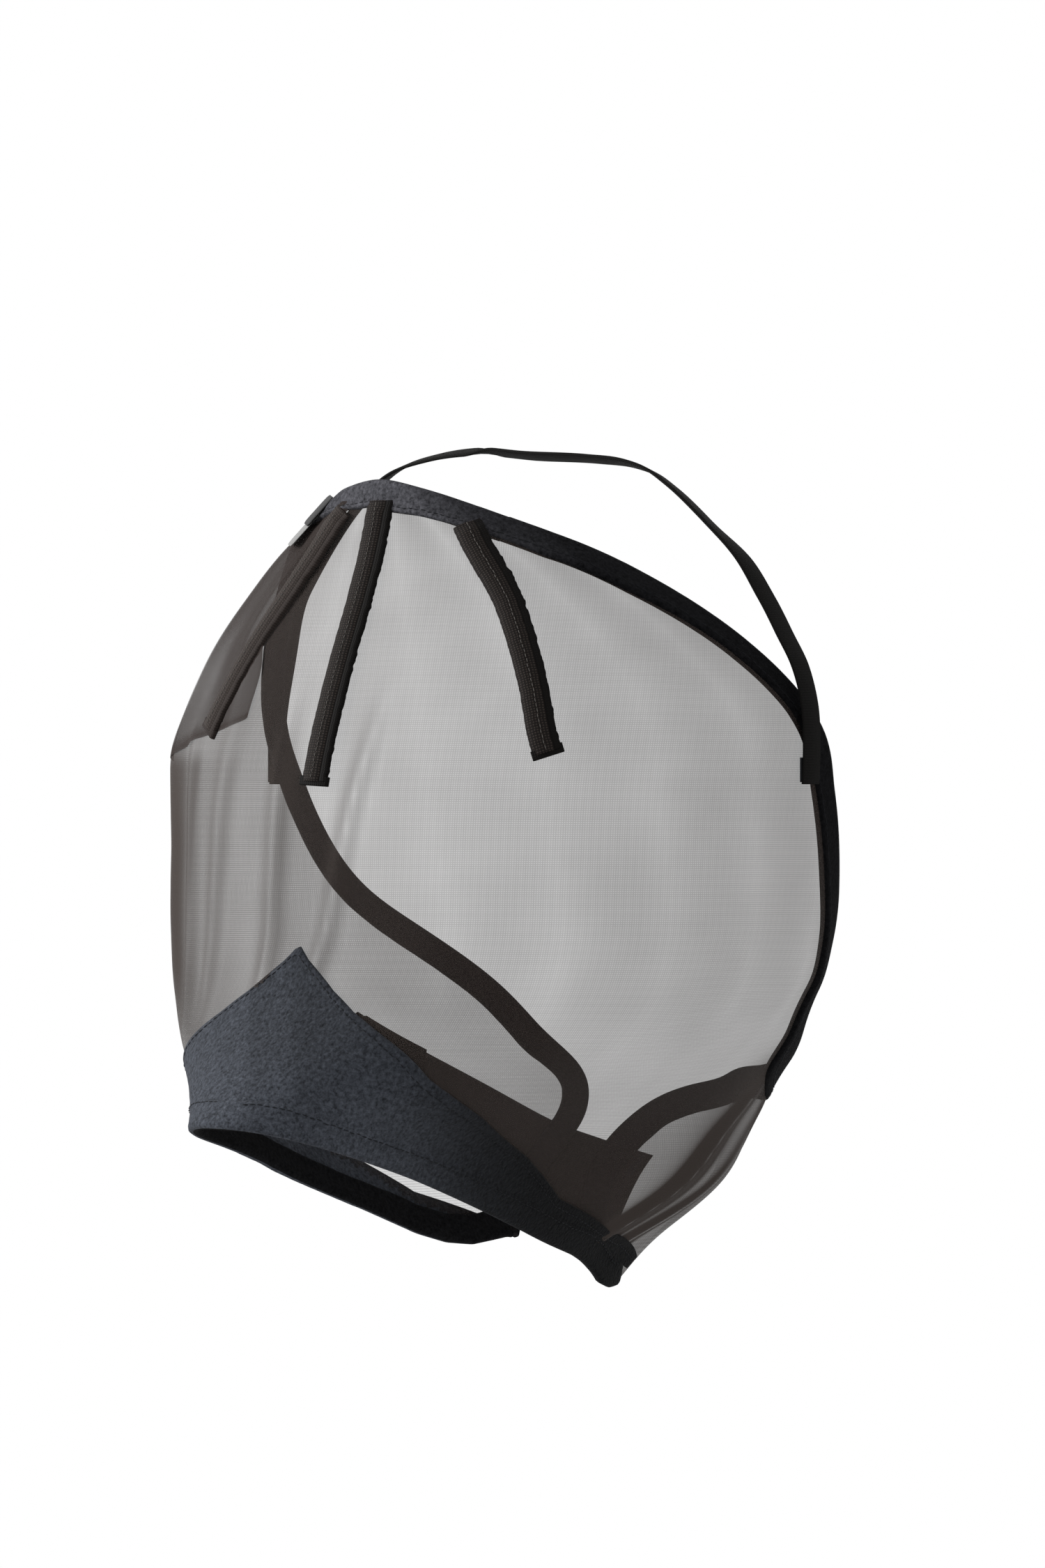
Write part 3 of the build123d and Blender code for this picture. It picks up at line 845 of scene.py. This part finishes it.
for side, points in DARTS.items():
    (x0, z0), (x1, z1) = points[:2]
    start = (x0 - (x1 - x0) * DART_TUCK[side], z0 - (z1 - z0) * DART_TUCK[side])
    plan = spline([start] + points, 150)
    line = skin(plan[:, 1], from_front(plan[:, 0] + DART_SHIFT[side], plan[:, 1]))
    across, _ = frames(line)
    across *= -1 if across[0, 0] < 0 else 1
    across *= DART_SPREAD[side]
    net, seam = (NET_FAR, SEAM_FAR) if side == "off" else (NET, NET_SEAM)
    count = len(line)
    tall = 0.62 + 0.38 * ease(np.arange(count), 0, 8)
    left, right, seam_edge = ragged(count, 0.25), ragged(count, 0.25), ragged(count, 0.3)
    rings = []
    for a, h in CASING:
        uneven = (left if a < 0 else right) * 0.5
        rings.append(hug(line + across * (a + uneven)[:, None], h * tall))
    casing = strip(f"{side}_dart_casing", rings, length_along(line), CASING, "root", net)
    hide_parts(f"{side}_dart")
    rings = [hug(line + across * (a + seam_edge * (a > 5))[:, None], h * tall) for a, h in DART_SEAM]
    edge = strip(f"{side}_dart_seam", rings, length_along(line), DART_SEAM, "root", seam)
    onward = (line[-1] - line[-4]) / np.linalg.norm(line[-1] - line[-4])
    tab_line = line[-1] + onward * np.linspace(-TAB_BACK, TAB_ON, TAB_ROWS)[:, None]
    rings = [hug(tab_line + across[-1] * a, h) for a, h in DART_TAB]
    tab = strip(f"{side}_dart_end", rings, length_along(tab_line), DART_TAB, "root", seam)
    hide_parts(f"{side}_dart_tab")
    row = stitches(f"{side}_dart_stitches", line, 2.6, 2.0, 0.45, 4.0, "root", PALE_THREAD, 0.12)

# ---------------------------------------------------------------- poll strap
# How far back the strap's off end sits, and how far forward its near end, from the swing axis
OFF_END_BACK, NEAR_END_FORWARD = 12, 3
arch = spline(POLL_ARCH, 220)
along = np.gradient(arch, axis=0)
along /= np.linalg.norm(along, axis=1, keepdims=True)
facing = np.stack([along[:, 1], -along[:, 0]], 1)
half_web, half_thick = POLL_WIDTH / 2, POLL_THICK / 2
soft_edge = 0.6
inner_web = half_web - soft_edge
web_profile = [(-half_web, -soft_edge / 2), (-half_web, soft_edge / 2), (-inner_web, half_thick),
               (inner_web, half_thick), (half_web, soft_edge / 2), (half_web, -soft_edge / 2),
               (inner_web, -half_thick), (-inner_web, -half_thick)]
# The webbing's twist along the arch, in radians
roll = 0.28 * ease(arch[:, 0], -150, -110) - 0.56 * ease(arch[:, 0], -40, -20)
roll += 0.3 * ease(arch[:, 0], 110, 150) - 0.02 * ease(arch[:, 0], 172, 179)
set_back = OFF_END_BACK * ease(-arch[:, 0], 150, 177) - NEAR_END_FORWARD * ease(arch[:, 0], 150, 177)
rows = []
for y, h in web_profile:
    away = h * np.cos(roll) - y * np.sin(roll)
    back = y * np.cos(roll) + h * np.sin(roll)
    rows.append(np.stack([arch[:, 0] + facing[:, 0] * away, POLL_Y + back + set_back,
                          arch[:, 1] + facing[:, 1] * away], 1))
poll = strip("poll_webbing", rows, length_along(arch), web_profile, "poll_strap", POLL_WEB)
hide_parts("poll_strap")

# The sewn tacks lie under the strap's ends
TACK_HEIGHT, TACK_THICK, TACK_MARGIN = 12, 1.2, 0.8
low = POLL_ARCH[-1][1] + 1
high = low + TACK_HEIGHT
outer_x, reach = POLL_ARCH[-1][0] - POLL_THICK / 2, POLL_WIDTH / 2 - TACK_MARGIN
for side, turn, tack_y in (("near", 1, POLL_Y - NEAR_END_FORWARD), ("off", -1, POLL_Y + OFF_END_BACK)):
    corners = []
    for x in (outer_x, outer_x - TACK_THICK):
        square = ((-reach, low), (reach, low), (reach, high), (-reach, high))
        corners += [(turn * x, tack_y + y, z) for y, z in square]
    faces = [(0, 1, 2, 3), (4, 5, 6, 7), (0, 1, 5, 4), (1, 2, 6, 5), (2, 3, 7, 6), (3, 0, 4, 7)]
    tack = make(f"{side}_tack", corners, faces, "root", THREAD, smooth=False)
    outward(tack)
    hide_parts(f"{side}_strap_tack")

# ---------------------------------------------------------------- closure strap
def side_patch(name, top, low, count, across, under, over, body, material):
    """Tape on the off side between two side-view edges."""
    one, two = spline(top, count), spline(low, count)
    share = np.linspace(0, 1, across)[None, :, None]
    plan = one[:, None] * (1 - share) + two[:, None] * share
    t = from_side(plan[..., 0], plan[..., 1], -1)
    rim = np.minimum(np.minimum(np.arange(across), np.arange(across)[::-1]) / 1.5, 1)[None, :]
    middle = (under + over) / 2
    full = 0.35 + 0.65 * rim
    outer = skin(plan[..., 1], t, middle + (over - middle) * full)
    inner = skin(plan[..., 1], t, middle + (under - middle) * full)
    return slab(name, outer, inner, body, material)


tape = side_patch("closure_tape", CLOSURE_TOP + CLOSURE_SEWN[:1], CLOSURE_LOW + CLOSURE_SEWN[1:],
                  76, 24, 3.0, 4.8, None, CLOSURE_WEB)
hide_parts("closure_strap", "closure_strap_base")

# ---------------------------------------------------------------- badge
# It stands nearly on edge to the camera, along the brow at the far temple
BADGE_WIDTH, BADGE_CORNER, CORNER_STEPS = 24.0, 4.0, 6
badge_long = np.array([0.513, 0.431, 0.743])
badge_normal = np.array([-0.569, -0.478, 0.669])
badge_long /= np.linalg.norm(badge_long)
badge_normal /= np.linalg.norm(badge_normal)
badge_short = np.cross(badge_normal, badge_long)
badge_turn = radians(-7)
badge_normal = badge_normal * cos(badge_turn) + badge_short * sin(badge_turn)
badge_short = np.cross(badge_normal, badge_long)
badge_origin = np.array([-49, 16, -17.0]) + badge_normal * 3.4 - badge_long * 4.0


def badge_part(name, low, high, lift, thick, material, width=BADGE_WIDTH):
    """A plate with round corners, from low to high along the badge, its faces' rims softened."""
    middle, half = (high + low) / 2, (high - low) / 2
    outline = []
    for quarter, (sx, sy) in enumerate(((1, 1), (-1, 1), (-1, -1), (1, -1))):
        for k in range(CORNER_STEPS + 1):
            angle = radians(90 * (quarter + k / CORNER_STEPS))
            outline.append((sx * (half - BADGE_CORNER) + BADGE_CORNER * cos(angle),
                            sy * (width / 2 - BADGE_CORNER) + BADGE_CORNER * sin(angle)))
    points = []
    layers = ((0.0, 0.94), (0.25, 1.0), (0.75, 1.0), (1.0, 0.94))
    for share, scale in layers:
        centre = badge_origin + badge_long * middle + badge_normal * (lift + thick * share)
        points += [centre + badge_long * u * scale + badge_short * v * scale for u, v in outline]
    n = len(outline)
    faces = grid_faces(len(layers), n, wrap=True)
    faces += [tuple(range(n))[::-1], tuple((len(layers) - 1) * n + i for i in range(n))]
    piece = make(name, points, faces, "root", material)
    outward(piece)
    return piece


badge = badge_part("badge_face", -3, 16, 0.4, 0.9, BADGE_DARK)
backing = badge_part("badge_back", -16, 16, 0.0, 0.4, BADGE_PALE, 20.0)
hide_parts("blank_badge")

# ---------------------------------------------------------------- finishes on the CAD pieces that stay
for name, material in (
    ("centre_dart_stay", STAY), ("near_dart_stay", STAY), ("off_dart_stay", STAY),
    ("closure_stitch_pad", THREAD),
    ("closure_hook_patch", HOOKS), ("closure_loop_patch", LOOPS),
):
    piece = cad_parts[name]
    piece.data.materials.clear()
    piece.data.materials.append(material)

# ---------------------------------------------------------------- cloth across the jaw fold
for piece in (flap, made_bindings["jaw_flap_tape"], made_bindings["jaw_flap_tape_stitches"]):
    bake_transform(piece)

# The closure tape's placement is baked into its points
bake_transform(tape)

# ---------------------------------------------------------------- floor, light and camera
floor_data = bpy.data.meshes.new("floor")
reach, drop = 30.0, -0.62
corners = [(-reach, -reach, drop), (reach, -reach, drop), (reach, reach, drop), (-reach, reach, drop)]
floor_data.from_pydata(corners, [], [(0, 1, 2, 3)])
floor = bpy.data.objects.new("floor", floor_data)
scene.collection.objects.link(floor)
pale, nodes, links, main = shader("pale_floor", (0, 0, 0), 1.0, gloss=0.0)
main.inputs["Emission Color"].default_value = (1, 1, 1, 1)
main.inputs["Emission Strength"].default_value = 1.0
floor_data.materials.append(pale)

world = bpy.data.worlds.new("studio")
scene.world = world
world.use_nodes = True
world.node_tree.nodes["Background"].inputs[0].default_value = (1, 1, 1, 1)
world.node_tree.nodes["Background"].inputs[1].default_value = 1.0


def lamp(name, azimuth, height, distance, size, power):
    """A square lamp that faces the middle of the scene."""
    data = bpy.data.lights.new(name, "AREA")
    data.size = size
    data.energy = power
    made = bpy.data.objects.new(name, data)
    scene.collection.objects.link(made)
    made.location = (distance * sin(radians(azimuth)), -distance * cos(radians(azimuth)), height)
    made.rotation_euler = (-made.location.normalized()).to_track_quat("-Z", "Y").to_euler()


lamp("key", -58, 0.45, 2.2, 1.1, 95)
lamp("fill", 60, 1.1, 2.4, 1.6, 8)

# The picture covers FRAME_HEIGHT metres at the aim point
AZIMUTH, DISTANCE, FRAME_HEIGHT, SENSOR = 40, 6.0, 2250 / 2900, 36
aim = np.array([0.0056, 0.1047, -0.1469])
camera_data = bpy.data.cameras.new("camera")
camera = bpy.data.objects.new("camera", camera_data)
scene.collection.objects.link(camera)
camera.location = aim + DISTANCE * np.array([sin(radians(AZIMUTH)), -cos(radians(AZIMUTH)), 0])
camera.rotation_euler = (radians(90), 0, radians(AZIMUTH))
camera_data.sensor_width = SENSOR
camera_data.lens = SENSOR * DISTANCE / FRAME_HEIGHT
scene.camera = camera
scene.view_settings.view_transform = "Standard"
